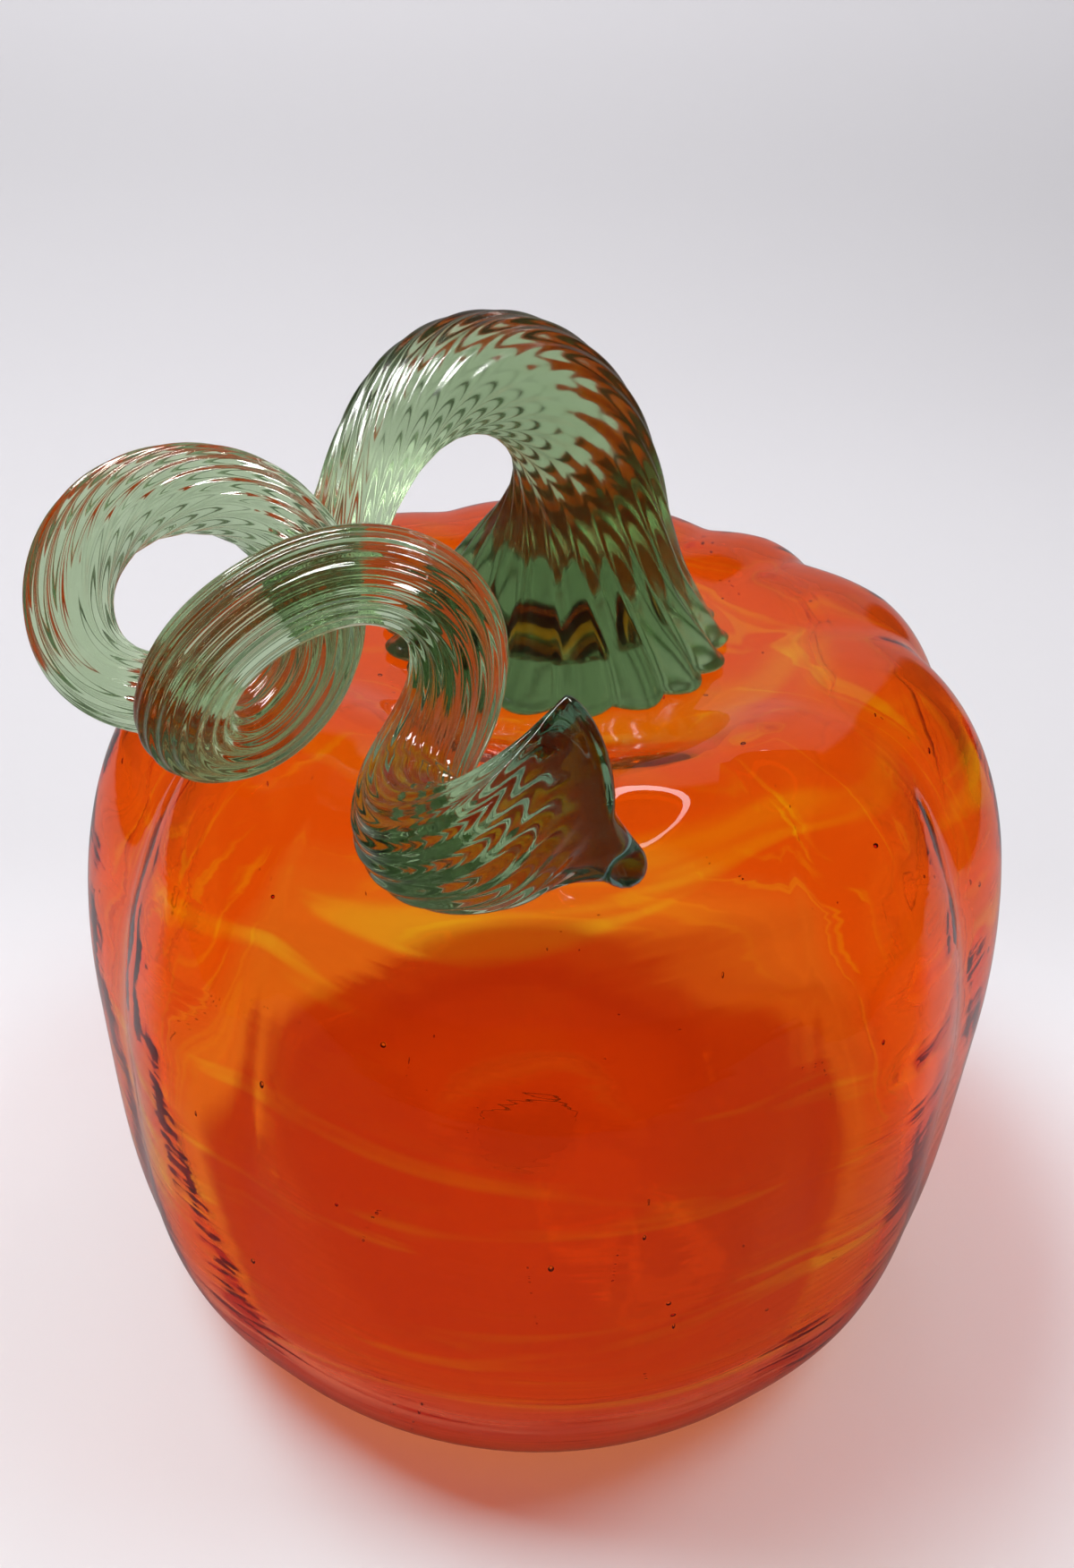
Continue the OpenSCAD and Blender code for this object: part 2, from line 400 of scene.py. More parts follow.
floor_z = SEAT_Z + SKIRT_GAP
for k in range(5):
    ring(UP * (floor_z - PLUG_L), UP, 0.4 + (PLUG_R - 0.9) * k / 4, 0, 1, 0)
for k in range(6):
    ring(UP * (floor_z - PLUG_L + 0.5 + (PLUG_L - 0.5) * k / 5), UP, PLUG_R, 0, 1, 0)
rim = SKIRT_D / 2
for k in range(1, 11):
    reach = PLUG_R + (rim - RIM_SOFT - PLUG_R) * k / 10
    ring(UP * floor_z, UP, reach, SCALLOP_H * (k / 10) ** 2, 1.0, 0)
for k in range(1, 7):
    bend = math.radians(90) * k / 6
    out = rim - RIM_SOFT + RIM_SOFT * math.sin(bend)
    ring(UP * (floor_z + RIM_SOFT * (1 - math.cos(bend))), UP, out, SCALLOP_H, 1.0, 0)
print("Rings below the rod:", len(rows))

# %% Rings of the rod and its end
FIRST_STEP_H = 10.0
END_DOME = 1.2
PRESS_STEPS = 3

first_u = RIM_SOFT / FIRST_STEP_H
for k in range(1, STEPS * RINGS_PER_STEP + 1):
    u = first_u + (STEPS - first_u) * k / (STEPS * RINGS_PER_STEP)
    groove = SCALLOP_H + (RIB_H - SCALLOP_H) * share(u, 0, 3)
    groove *= 1 - share(u, STEPS - 0.9, STEPS - 0.1)
    middle = spline(u)[:3] + UP * SEAT_Z
    if u < STEPS - PRESS_STEPS:
        press_from = len(rows) + 1
    ring(middle, facing(u), thick(u) / 2, groove, 1.0 + share(u, 1, 4), turn(u))
end_middle, end_way, end_reach = rows[-1][:3]
for k in range(1, 15):
    bend = math.radians(88) * k / 14
    middle = end_middle + end_way * END_DOME * math.sin(bend)
    ring(middle, end_way, end_reach * math.cos(bend) ** 0.6, 0, 1, turn(STEPS))

sides = [np.array((1.0, 0.0, 0.0))]
for row in rows[1:]:
    way = row[1]
    carried = sides[-1] - way * (sides[-1] @ way)
    sides.append(carried / np.linalg.norm(carried))
print("Rings on the stem:", len(rows))

# %% [markdown]
# ## The stem: sweeping the ribs with Geometry Nodes
# A rod with ribs that follow a path is a job for Geometry Nodes: the rings become points of a
# curve that carry their numbers as attributes, Curve to Mesh sweeps a circle along it, and one
# Set Position node moves each point out to its place on the ribbed ring. The profile is the
# size of a cosine, so the ribs are round on top and pinched between.

# %% A line of rings with its numbers
RIBS = 18
AROUND = 144

line = bpy.data.meshes.new("stem_line")
middles = np.array([row[0] for row in rows]) * MM
line.from_pydata(middles.tolist(), [(k, k + 1) for k in range(len(rows) - 1)], [])


def store(name, kind, values):
    attribute = line.attributes.new(name, kind, "POINT")
    field = "vector" if kind == "FLOAT_VECTOR" else "value"
    attribute.data.foreach_set(field, np.asarray(values, np.float32).ravel())


store("middle", "FLOAT_VECTOR", middles)
store("ahead", "FLOAT_VECTOR", [row[1] for row in rows])
store("side", "FLOAT_VECTOR", sides)
store("reach", "FLOAT", [row[2] * MM for row in rows])
store("groove", "FLOAT", [row[3] * MM for row in rows])
store("edge", "FLOAT", [row[4] for row in rows])
store("twist", "FLOAT", [row[5] for row in rows])
store("near_end", "FLOAT", [float(k >= press_from) for k in range(len(rows))])
line_object = bpy.data.objects.new("stem_line", line)
bpy.context.scene.collection.objects.link(line_object)
print("Line points:", len(line.vertices))

# %% [markdown]
# Trees are easier to read in code with a few helpers: one that adds a node, two that fill its
# sockets, and one that declares a tree with its named inputs. Values of a modifier are set
# later by each socket's identifier, so the helper keeps those too.

# %% Helpers for nodes


def node(tree, kind, **settings):
    made = tree.nodes.new(kind)
    for key, value in settings.items():
        setattr(made, key, value)
    return made


def set_inputs(made, values):
    for socket, value in values.items():
        made.inputs[socket].default_value = value


def feed(tree, made, inputs):
    for socket, value in zip(made.inputs, inputs):
        if isinstance(value, (int, float)):
            socket.default_value = value
        else:
            tree.links.new(value, socket)


def math_node(tree, operation, *inputs):
    made = node(tree, "ShaderNodeMath", operation=operation)
    feed(tree, made, inputs)
    return made.outputs[0]


def vector_node(tree, operation, *inputs):
    made = node(tree, "ShaderNodeVectorMath", operation=operation)
    if operation == "SCALE":
        feed(tree, made, inputs[:1])
        tree.links.new(inputs[1], made.inputs["Scale"])
    else:
        feed(tree, made, inputs)
    return made.outputs["Vector"]


helpers = (node, set_inputs, feed, math_node, vector_node)
print("Helpers for nodes:", [helper.__name__ for helper in helpers])

# %% Helpers for shape trees


def shape_tree(name, sockets):
    """A Geometry Nodes tree with named inputs, and the identifier of each of them."""
    tree = bpy.data.node_groups.new(name, "GeometryNodeTree")
    tree.interface.new_socket("Geometry", in_out="INPUT", socket_type="NodeSocketGeometry")
    keys = {}
    for socket, kind in sockets.items():
        made = tree.interface.new_socket(socket, in_out="INPUT", socket_type="NodeSocket" + kind)
        keys[socket] = made.identifier
    tree.interface.new_socket("Geometry", in_out="OUTPUT", socket_type="NodeSocketGeometry")
    return tree, keys, node(tree, "NodeGroupInput")


def finish_tree(tree, start, geometry):
    """Smooth, realize and paint the shape, and end the tree."""
    smooth = node(tree, "GeometryNodeSetShadeSmooth")
    real = node(tree, "GeometryNodeRealizeInstances")
    paint = node(tree, "GeometryNodeSetMaterial")
    end = node(tree, "NodeGroupOutput")
    tree.links.new(geometry, smooth.inputs["Geometry"])
    tree.links.new(smooth.outputs["Geometry"], real.inputs["Geometry"])
    tree.links.new(real.outputs["Geometry"], paint.inputs["Geometry"])
    tree.links.new(start.outputs["Glass"], paint.inputs["Material"])
    tree.links.new(paint.outputs["Geometry"], end.inputs["Geometry"])
    print(tree.name, "has", len(tree.nodes), "nodes")


print("Helpers for shape trees:", [shape_tree.__name__, finish_tree.__name__])

# %% The tree that sweeps the ribs


def named(name, kind="FLOAT"):
    made = node(sweep, "GeometryNodeInputNamedAttribute", data_type=kind)
    made.inputs["Name"].default_value = name
    return made.outputs["Attribute"]


sweep, sweep_keys, start = shape_tree(
    "sweep_ribs", {"Ribs": "Int", "Points around": "Int", "Glass": "Material"})
path = node(sweep, "GeometryNodeMeshToCurve")
sweep.links.new(start.outputs["Geometry"], path.inputs["Mesh"])
circle = node(sweep, "GeometryNodeCurvePrimitiveCircle", mode="RADIUS")
circle.inputs["Radius"].default_value = MM
sweep.links.new(start.outputs["Points around"], circle.inputs["Resolution"])
step = math_node(sweep, "DIVIDE", 2 * math.pi, start.outputs["Points around"])
index = node(sweep, "GeometryNodeInputIndex")
bearing_in = math_node(sweep, "MULTIPLY", index.outputs[0], step)
profile = node(sweep, "GeometryNodeStoreNamedAttribute", data_type="FLOAT", domain="POINT")
profile.inputs["Name"].default_value = "bearing"
sweep.links.new(circle.outputs["Curve"], profile.inputs["Geometry"])
sweep.links.new(bearing_in, profile.inputs["Value"])
tube = node(sweep, "GeometryNodeCurveToMesh")
tube.inputs["Fill Caps"].default_value = True
sweep.links.new(path.outputs["Curve"], tube.inputs["Curve"])
sweep.links.new(profile.outputs["Geometry"], tube.inputs["Profile Curve"])

half_ribs = math_node(sweep, "DIVIDE", start.outputs["Ribs"], 2.0)
lobe = math_node(sweep, "COSINE", math_node(sweep, "MULTIPLY", named("bearing"), half_ribs))
crest = math_node(sweep, "POWER", math_node(sweep, "ABSOLUTE", lobe), named("edge"))
cut = math_node(sweep, "MULTIPLY", named("groove"), math_node(sweep, "SUBTRACT", 1.0, crest))
reach_out = math_node(sweep, "SUBTRACT", named("reach"), cut)
angle = math_node(sweep, "ADD", named("bearing"), named("twist"))
side_in = named("side", "FLOAT_VECTOR")
cross_in = vector_node(sweep, "CROSS_PRODUCT", named("ahead", "FLOAT_VECTOR"), side_in)
along_side = vector_node(sweep, "SCALE", side_in, math_node(sweep, "COSINE", angle))
along_cross = vector_node(sweep, "SCALE", cross_in, math_node(sweep, "SINE", angle))
offset = vector_node(sweep, "SCALE", vector_node(sweep, "ADD", along_side, along_cross), reach_out)
move = node(sweep, "GeometryNodeSetPosition")
sweep.links.new(tube.outputs["Mesh"], move.inputs["Geometry"])
place = vector_node(sweep, "ADD", named("middle", "FLOAT_VECTOR"), offset)
sweep.links.new(place, move.inputs["Position"])
finish_tree(sweep, start, move.outputs["Geometry"])

# %% [markdown]
# ## A shared effect: drifting colour
# Hand-made glass is never one even colour: denser threads drift through it and are wound up
# as the piece turns. All three glasses show it, so it is one node group with named inputs. It
# stretches a noise, twists it with height, and puts out a colour between two tints and a
# height for faint ripples in the skin.

# %% Helpers for shaders


def new_group(name, inputs, outputs):
    group = bpy.data.node_groups.new(name, "ShaderNodeTree")
    for socket, kind in inputs.items():
        group.interface.new_socket(socket, in_out="INPUT", socket_type="NodeSocket" + kind)
    for socket, kind in outputs.items():
        group.interface.new_socket(socket, in_out="OUTPUT", socket_type="NodeSocket" + kind)
    return group, node(group, "NodeGroupInput"), node(group, "NodeGroupOutput")


def mix_colour(tree, factor, one, other):
    """A colour between two; the Mix node tells its colour sockets apart by number only."""
    made = node(tree, "ShaderNodeMix", data_type="RGBA")
    for socket, value in zip((0, 6, 7), (factor, one, other)):
        if isinstance(value, tuple):
            made.inputs[socket].default_value = (*value, 1)
        else:
            tree.links.new(value, made.inputs[socket])
    return made.outputs[2]


def rise(tree, value, low, high, to_low=0.0, to_high=1.0):
    """A soft step from one level to another while a value goes from low to high."""
    made = node(tree, "ShaderNodeMapRange", interpolation_type="SMOOTHSTEP")
    set_inputs(made, {"From Min": low, "From Max": high, "To Min": to_low, "To Max": to_high})
    tree.links.new(value, made.inputs["Value"])
    return made.outputs[0]


def place_in(tree, space):
    """A texture coordinate, whole and as its X, Y and Z."""
    coords = node(tree, "ShaderNodeTexCoord")
    split = node(tree, "ShaderNodeSeparateXYZ")
    tree.links.new(coords.outputs[space], split.inputs[0])
    return coords.outputs[space], split.outputs


print("Helpers for shaders:", [h.__name__ for h in (new_group, mix_colour, rise, place_in)])

# %% The drift group
THREAD_FROM, THREAD_FULL = 0.54, 0.68

drift, start, end = new_group(
    "glass_drift",
    {"Body": "Color", "Streak": "Color", "Stretch": "Vector", "Twist": "Float"},
    {"Color": "Color", "Height": "Float"},
)
place, axes = place_in(drift, "Object")
spin = node(drift, "ShaderNodeVectorRotate", rotation_type="Z_AXIS")
wound = math_node(drift, "MULTIPLY", axes["Z"], start.outputs["Twist"])
drift.links.new(place, spin.inputs["Vector"])
drift.links.new(wound, spin.inputs["Angle"])
drawn = vector_node(drift, "MULTIPLY", spin.outputs[0], start.outputs["Stretch"])
noise = node(drift, "ShaderNodeTexNoise")
set_inputs(noise, {"Scale": 1.0, "Detail": 3.0, "Roughness": 0.5, "Distortion": 0.9})
drift.links.new(drawn, noise.inputs["Vector"])
thread = rise(drift, noise.outputs[0], THREAD_FROM, THREAD_FULL)
colour = mix_colour(drift, thread, start.outputs["Body"], start.outputs["Streak"])
drift.links.new(colour, end.inputs["Color"])
drift.links.new(noise.outputs[0], end.inputs["Height"])
print("Nodes in the drift:", len(drift.nodes))

# %% [markdown]
# ## The glasses
# Such a body is cased: a thin layer of strong orange over a paler core. So most of its colour is a
# tint that light takes on as it crosses the skin, and only a little is absorption inside the wall.
# The stem is coloured all through, so there nearly all of it is absorption, which makes thick
# places greener. Towards its sheared end the tint fades to a darker colour. Three values serve the
# picture more than physics: the far part of the stem is a little dull, as it is out of focus in the
# photograph, and the stem and the ground mark bend light less than real glass, so that the paper
# shows through them.

# %% Helpers for the glasses
RIPPLE_STRENGTH, RIPPLE_DEPTH = 0.25, 0.0006


def new_material(name):
    mat = bpy.data.materials.new(name)
    mat.use_nodes = True
    mat.node_tree.nodes.clear()
    return mat, mat.node_tree, node(mat.node_tree, "ShaderNodeOutputMaterial")


def tinted_glass(tree, effect, colour, ior):
    """A glass shader with a colour and the faint ripples of an effect."""
    glass = node(tree, "ShaderNodeBsdfPrincipled")
    set_inputs(glass, {"Roughness": 0.0, "IOR": ior, "Transmission Weight": 1.0})
    tree.links.new(colour, glass.inputs["Base Color"])
    ripple = node(tree, "ShaderNodeBump")
    set_inputs(ripple, {"Strength": RIPPLE_STRENGTH, "Distance": RIPPLE_DEPTH})
    tree.links.new(effect.outputs["Height"], ripple.inputs["Height"])
    tree.links.new(ripple.outputs[0], glass.inputs["Normal"])
    return glass


def let_light_through(tree, glass):
    """The glass mixed with a Transparent shader that only shadow rays see."""
    clear = node(tree, "ShaderNodeBsdfTransparent")
    rays = node(tree, "ShaderNodeLightPath")
    mix = node(tree, "ShaderNodeMixShader")
    feed(tree, mix, (rays.outputs["Is Shadow Ray"], glass.outputs[0], clear.outputs[0]))
    return mix.outputs[0], clear.inputs["Color"]


print("Ripples in mm:", RIPPLE_DEPTH / MM)

# %% [markdown]
# Lamps reach the floor through that Transparent shader, because sharp caustics would need far
# more samples. With it the recipe is complete. The ground mark has the same one with a frosted
# skin.

# %% One recipe for the glasses
FROST_FROM, FROST_FULL = 0.3, 0.7
DULL_FROM_Y, DULL_FULL_Y = -0.042, -0.024
SHADE_FROM, SHADE_FULL = 0.3, 0.75


def make_glass(name, tints, shade, stretch, twist, absorbs, density, ior,
               off_layer=None, cased=False, frost=None, dull=None):
    mat, tree, out = new_material(name)
    effect = node(tree, "ShaderNodeGroup", node_tree=drift)
    set_inputs(effect, {"Body": (*tints[0], 1), "Streak": (*tints[1], 1)})
    set_inputs(effect, {"Stretch": stretch, "Twist": twist})
    colour = effect.outputs["Color"]
    if off_layer:
        layer = node(tree, "ShaderNodeAttribute", attribute_name="layer").outputs["Fac"]
        colour = mix_colour(tree, layer, off_layer, colour)
    glass = tinted_glass(tree, effect, colour, ior)
    if frost:
        rough = rise(tree, effect.outputs["Height"], FROST_FROM, FROST_FULL, *frost)
        tree.links.new(rough, glass.inputs["Roughness"])
    if dull:
        place, axes = place_in(tree, "Object")
        rough = rise(tree, axes["Y"], DULL_FROM_Y, DULL_FULL_Y, *dull)
        tree.links.new(rough, glass.inputs["Roughness"])
    surface, shadow = let_light_through(tree, glass)
    if cased:
        shaded = rise(tree, layer, SHADE_FROM, SHADE_FULL)
        tree.links.new(mix_colour(tree, shaded, off_layer, shade), shadow)
    else:
        shadow.default_value = (*shade, 1)
    absorb = node(tree, "ShaderNodeVolumeAbsorption")
    set_inputs(absorb, {"Color": (*absorbs, 1), "Density": density})
    tree.links.new(surface, out.inputs["Surface"])
    tree.links.new(absorb.outputs[0], out.inputs["Volume"])
    return mat


print("Dull skin in mm: from y", DULL_FROM_Y / MM, "to", DULL_FULL_Y / MM)

# %% Three glasses
orange_glass = make_glass(
    "orange_glass", tints=((0.90, 0.10, 0.0003), (0.97, 0.44, 0.0008)), shade=(0.70, 0.27, 0.085),
    stretch=(13, 13, 105), twist=6.0, absorbs=(0.97, 0.8, 0.4), density=80.0, ior=1.48,
    off_layer=(1.0, 1.0, 1.0), cased=True)
green_glass = make_glass(
    "green_glass", tints=((0.66, 0.76, 0.59), (0.76, 0.85, 0.69)), shade=(0.96, 0.98, 0.95),
    stretch=(60, 60, 60), twist=0.0, absorbs=(0.25, 0.45, 0.1), density=58.0, ior=1.4,
    off_layer=(0.13, 0.22, 0.22), dull=(0.02, 0.16))
clear_glass = make_glass(
    "clear_glass", tints=((0.97, 0.98, 0.97), (0.99, 0.99, 0.99)), shade=(0.97, 0.98, 0.97),
    stretch=(900, 900, 900), twist=0.0, absorbs=(0.8, 0.9, 0.8), density=10.0, ior=1.12,
    frost=(0.08, 0.2))
body.data.materials.append(orange_glass)
mark.data.materials.append(clear_glass)
print("Glasses:", [m.name for m in (orange_glass, green_glass, clear_glass)])

# %% [markdown]
# ## Running the sweep
# The modifier gets its values before the object is first evaluated. The evaluated shape is
# then copied to a plain mesh, so nothing that the export would drop is left on the piece.

# %% Run the sweep and keep its mesh


def run_tree(source, tree, keys, values):
    modifier = source.modifiers.new(tree.name, "NODES")
    modifier.node_group = tree
    for socket, value in values.items():
        modifier[keys[socket]] = value


def settle(source, name):
    """The evaluated shape of a source object as a plain piece; the source is removed."""
    bpy.context.view_layer.update()
    graph = bpy.context.evaluated_depsgraph_get()
    mesh = bpy.data.meshes.new_from_object(source.evaluated_get(graph), depsgraph=graph)
    mesh.name = name
    piece = bpy.data.objects.new(name, mesh)
    bpy.context.scene.collection.objects.link(piece)
    bpy.data.objects.remove(source)
    return piece


run_tree(line_object, sweep, sweep_keys, {
    "Ribs": RIBS, "Points around": AROUND, "Glass": green_glass})
stem = settle(line_object, "stem_glass")
print("Stem:", len(stem.data.vertices), "points")

# %% [markdown]
# ## The sheared end
# The rod was cut off with shears, which pinch it to a flat leaf, and the last hot glass ran to
# the low edge as a drop. No profile gives that, so the swept points near the end are moved. To
# press them, we need to know where each point lies along the end, down it and across it, and
# the numbers of its ring, which the sweep carried along. The ribs keep their depth: only the
# round of the rod is flattened. Then the end is bowed and leaned.

# %% Press the sheared end flat
END_FLAT, END_LONG, END_BULGE, EDGE_LEAN = 0.25, 14.0, 1.6, 0.27


def carried_values(name, size=1, unit=1.0):
    """Numbers that the sweep carried from the line to the stem's points."""
    values = np.zeros(len(stem.data.vertices) * size, np.float32)
    field = "vector" if size == 3 else "value"
    stem.data.attributes[name].data.foreach_get(field, values)
    return values.reshape(-1, size) / unit


points = carried_values("position", 3, MM)
from_end = points - end_middle
down = -UP + end_way * (UP @ end_way)
down /= np.linalg.norm(down)
across = np.cross(end_way, down)
along, low, wide = from_end @ end_way, from_end @ down, from_end @ across
press = ease(np.clip(1 + along / END_LONG, 0, 1)) * carried_values("near_end")[:, 0]
from_middle = points - carried_values("middle", 3, MM)
ring_r = np.linalg.norm(from_middle, axis=1)
cut = (carried_values("reach", 1, MM)[:, 0] - ring_r) * (from_middle @ across) / ring_r
flat = (wide + cut) * (1 - (1 - END_FLAT) * press) - cut
points = points + np.outer(flat - wide, across)
wide = flat
level = np.clip(low / end_reach, -1, 1)
bow = END_BULGE * press**2 * (1 - level**2) - EDGE_LEAN * press * low
points = points + np.outer(bow, end_way)
print("End in mm:", round(2 * end_reach, 1), "by", round(2 * end_reach * END_FLAT, 1))

# %% [markdown]
# The middle of the low edge is then pulled down and ahead, and what lies inside the drop's ball is
# pushed out to its skin, softly, so that the drop runs into the edge. The same press number says
# where the darker tint of the end begins.

# %% Pull the drop
DROP_AHEAD, DROP_DOWN, DROP_R = 3.0, 4.2, 2.1
PULL_FROM, PULL_FULL = 0.35, 0.95
DROP_EXTRA = 0.2
SWELL_POWER = 6

low_share = np.clip((level - PULL_FROM) / (PULL_FULL - PULL_FROM), 0, 1)
pull = ease(low_share) * np.exp(-((wide / DROP_R) ** 2)) * press**4
points = points + np.outer(pull, DROP_AHEAD * end_way + DROP_DOWN * down)
drop_middle = end_middle + (end_reach + DROP_DOWN + DROP_EXTRA - DROP_R) * down
away = points - drop_middle
far = np.maximum(np.linalg.norm(away, axis=1), 0.01)
swell = (1 + (DROP_R / far) ** SWELL_POWER) ** (1 / SWELL_POWER)
swell = np.where(far < 3 * DROP_R, swell, 1.0)
points = drop_middle + away * swell[:, None]
stem.data.vertices.foreach_set("co", (points * MM).astype(np.float32).ravel())
stem.data.update()
store_layer(stem, 1 - press)
face_outwards(stem)
print("Drop in mm:", 2 * DROP_R)

# %% [markdown]
# ## Seeds in the wall
# Makers call the tiny bubbles in hand-made glass seeds. They lie inside the wall, so points
# are scattered on the skin and pushed in by half a wall, and each gets a small egg of its own
# size. The eggs are turned inside out, because their skin is where the glass ends and air
# begins. Then they join the body's mesh.

# %% The tree that scatters seeds
EGG_LEAST, EGG_MOST = (0.35, 0.35, 0.5), (1.0, 1.0, 1.6)

seeding, seeding_keys, start = shape_tree(
    "seed_bubbles",
    {"Density": "Float", "Depth": "Float", "Size": "Float", "Seed": "Int", "Glass": "Material"})
scatter = node(seeding, "GeometryNodeDistributePointsOnFaces", distribute_method="RANDOM")
seeding.links.new(start.outputs["Geometry"], scatter.inputs["Mesh"])
seeding.links.new(start.outputs["Density"], scatter.inputs["Density"])
seeding.links.new(start.outputs["Seed"], scatter.inputs["Seed"])
sunk = node(seeding, "GeometryNodeSetPosition")
inwards = math_node(seeding, "MULTIPLY", start.outputs["Depth"], -1.0)
offset = vector_node(seeding, "SCALE", scatter.outputs["Normal"], inwards)
seeding.links.new(scatter.outputs["Points"], sunk.inputs["Geometry"])
seeding.links.new(offset, sunk.inputs["Offset"])
ball = node(seeding, "GeometryNodeMeshIcoSphere")
set_inputs(ball, {"Radius": 1.0, "Subdivisions": 2})
spread = node(seeding, "FunctionNodeRandomValue", data_type="FLOAT_VECTOR")
set_inputs(spread, {"Min": EGG_LEAST, "Max": EGG_MOST})
seeding.links.new(start.outputs["Seed"], spread.inputs["Seed"])
egg_size = vector_node(seeding, "SCALE", spread.outputs["Value"], start.outputs["Size"])
eggs = node(seeding, "GeometryNodeInstanceOnPoints")
seeding.links.new(sunk.outputs["Geometry"], eggs.inputs["Points"])
seeding.links.new(ball.outputs["Mesh"], eggs.inputs["Instance"])
seeding.links.new(egg_size, eggs.inputs["Scale"])
solid = node(seeding, "GeometryNodeRealizeInstances")
seeding.links.new(eggs.outputs["Instances"], solid.inputs["Geometry"])
hollow = node(seeding, "GeometryNodeFlipFaces")
seeding.links.new(solid.outputs["Geometry"], hollow.inputs["Mesh"])
finish_tree(seeding, start, hollow.outputs["Mesh"])

# %% Scatter the seeds and join them to the body
SEED_DENSITY = 900.0
SEED_SIZE = 0.42
SEED_NUMBER = 7
BALL_POINTS = 42

seed_source = bpy.data.objects.new("seed_source", body.data.copy())
bpy.context.scene.collection.objects.link(seed_source)
run_tree(seed_source, seeding, seeding_keys, {
    "Density": SEED_DENSITY, "Depth": WALL / 2 * MM, "Size": SEED_SIZE * MM,
    "Seed": SEED_NUMBER, "Glass": orange_glass})
seeds = settle(seed_source, "seeds")
joined = bmesh.new()
joined.from_mesh(body.data)
joined.from_mesh(seeds.data)
joined.to_mesh(body.data)
joined.free()
print("Seeds in the wall:", len(seeds.data.vertices) // BALL_POINTS)
bpy.data.objects.remove(seeds)

# %% [markdown]
# ## Riding on the frame
# Each piece rides on the one rigid body of this object and stands for a CAD solid, which is hidden.

# %% Ride and replace
for piece, cad_node, slot in (
    (body, "body", "orange_glass"), (stem, "stem", "green_glass"), (mark, "pontil", "clear_glass")
):
    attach(piece, "root")
    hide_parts(cad_node)
    print(piece.name, "stands for", cad_node)

# %% [markdown]
# ## The studio: a paper sweep
# Glass shows little but its surroundings, so the studio matters more than for other objects.
# The floor and the backdrop are one sheet of pale paper with a soft bend.

# %% The sheet
SWEEP_FRONT, SWEEP_NEAR, SWEEP_START = -2.5, -0.6, 0.5
SWEEP_BEND, SWEEP_TOP, SWEEP_HALF = 0.4, 1.6, 2.5
BEND_STEPS = 12

profile = [(SWEEP_FRONT, 0.0), (SWEEP_NEAR, 0.0), (SWEEP_START, 0.0)]
for k in range(1, BEND_STEPS + 1):
    bend = math.radians(90) * k / BEND_STEPS
    profile.append((SWEEP_START + SWEEP_BEND * math.sin(bend), SWEEP_BEND * (1 - math.cos(bend))))
profile.append((SWEEP_START + SWEEP_BEND, SWEEP_TOP))
sheet_points = [(x / MM, y / MM, z / MM) for y, z in profile for x in (-SWEEP_HALF, SWEEP_HALF)]
sheet_faces = [(2 * k, 2 * k + 1, 2 * k + 3, 2 * k + 2) for k in range(len(profile) - 1)]
sheet = new_piece("paper_sweep", sheet_points, sheet_faces)
print("Paper reaches", SWEEP_TOP, "m up and", SWEEP_HALF, "m to each side")

# %% [markdown]
# The paper's colour is painted greyer behind the object, a painted shade where less light fell, and
# painted paler high up, a painted light where the lamps reach less. A real sheet also ends
# somewhere, and beyond it is a dim room: seen in the skin's reflections, the paper fades into that
# room towards the front, the sides and the top, while the camera sees an endless sheet. Each fade
# runs between two distances in metres.

# %% The paper's material
PAPER = (0.84, 0.825, 0.855)
PAPER_SHADE_BEHIND, BEHIND_FADE = 0.8, (-0.11, 0.02)
PAPER_LIGHT_HIGH, HIGH_FADE = 1.28, (0.08, 0.28)
ROOM = (0.035, 0.028, 0.024, 1)
FRONT_END, SIDES_END, TOP_END = (0.16, 0.25), (0.4, 0.55), (0.75, 1.1)
NEAR_FADE, NEAR_DIM, FRONT_DIM = (-0.02, 0.1), 0.6, 0.95

paper, tree, out = new_material("paper")
matt = node(tree, "ShaderNodeBsdfPrincipled")
set_inputs(matt, {"Roughness": 0.9, "Specular IOR Level": 0.1})
room = node(tree, "ShaderNodeEmission")
room.inputs["Color"].default_value = ROOM
place, axes = place_in(tree, "Object")
forward = math_node(tree, "MULTIPLY", axes["Y"], -1.0)
sideways = math_node(tree, "ABSOLUTE", axes["X"])
# Painted shade greys the paper behind the object, and painted light makes it paler high up.
behind = rise(tree, forward, *BEHIND_FADE, PAPER_SHADE_BEHIND, 1.0)
high = rise(tree, axes["Z"], *HIGH_FADE, 1.0, PAPER_LIGHT_HIGH)
painted_light_and_shade = math_node(tree, "MULTIPLY", behind, high)
tree.links.new(mix_colour(tree, painted_light_and_shade, (0.0, 0.0, 0.0), PAPER), matt.inputs["Base Color"])
front_off = rise(tree, forward, *FRONT_END)
sides_off = rise(tree, sideways, *SIDES_END)
top_off = rise(tree, axes["Z"], *TOP_END)
off_sheet = math_node(tree, "MAXIMUM", front_off, math_node(tree, "MAXIMUM", sides_off, top_off))
rays = node(tree, "ShaderNodeLightPath")
glossy, through = rays.outputs["Is Glossy Ray"], rays.outputs["Is Transmission Ray"]
bent = math_node(tree, "MAXIMUM", glossy, through)
mirrored = math_node(tree, "SUBTRACT", glossy, through)
dimmed = rise(tree, forward, *NEAR_FADE, NEAR_DIM, FRONT_DIM)
shaded = math_node(tree, "MULTIPLY", mirrored, dimmed)
far_off = math_node(tree, "MULTIPLY", mirrored, off_sheet)
above_off = math_node(tree, "MULTIPLY", bent, top_off)
beyond = math_node(tree, "MAXIMUM", math_node(tree, "MAXIMUM", far_off, above_off), shaded)
mix = node(tree, "ShaderNodeMixShader")
feed(tree, mix, (beyond, matt.outputs[0], room.outputs[0]))
tree.links.new(mix.outputs[0], out.inputs["Surface"])
sheet.data.materials.append(paper)
print("Nodes in the paper:", len(tree.nodes))

# %% [markdown]
# ## The studio: the room's light
# The world is the soft light of a pale room. What the glass bends towards us comes mostly from
# the walls at the sides, so they are brighter there than the dim room behind the camera.

